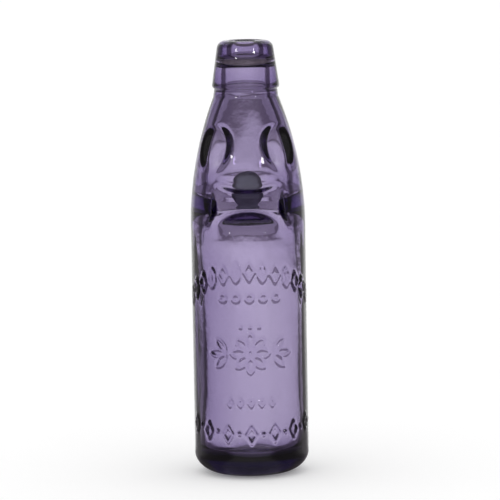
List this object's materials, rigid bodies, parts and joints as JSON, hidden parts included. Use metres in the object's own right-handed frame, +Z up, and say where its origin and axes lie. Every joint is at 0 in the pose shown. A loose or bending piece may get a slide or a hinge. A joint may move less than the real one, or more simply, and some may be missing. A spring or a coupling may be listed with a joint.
{
  "type": "marble stopper bottle",
  "caption": "Heavy purple glass mineral water bottle with a pressed waist, two dents, a loose glass marble and a rubber ring in its lip.",
  "frame": {"origin": "centre of the base, on the table", "axes": "+Z up along the bottle's axis to the mouth, -Y to the front with the two dents, +X to the viewer's right"},
  "size_m": [0.0608, 0.0608, 0.2286],
  "materials": {
    "bottle_glass": "fire-polished, lightly worn",
    "ring_rubber": "aged gum rubber, matte",
    "marble_glass": "worn dark glass"
  },
  "bodies": {
    "bottle": {"bottle": "bottle_glass", "applied_lip": "bottle_glass", "seal_ring": "ring_rubber"},
    "marble": {"marble": "marble_glass"}
  },
  "joints": [
    {"name": "marble_lift", "type": "slide", "parent": "bottle", "child": "marble", "axis": [0, 0, 1], "range_m": [0, 0.0627]}
  ]
}
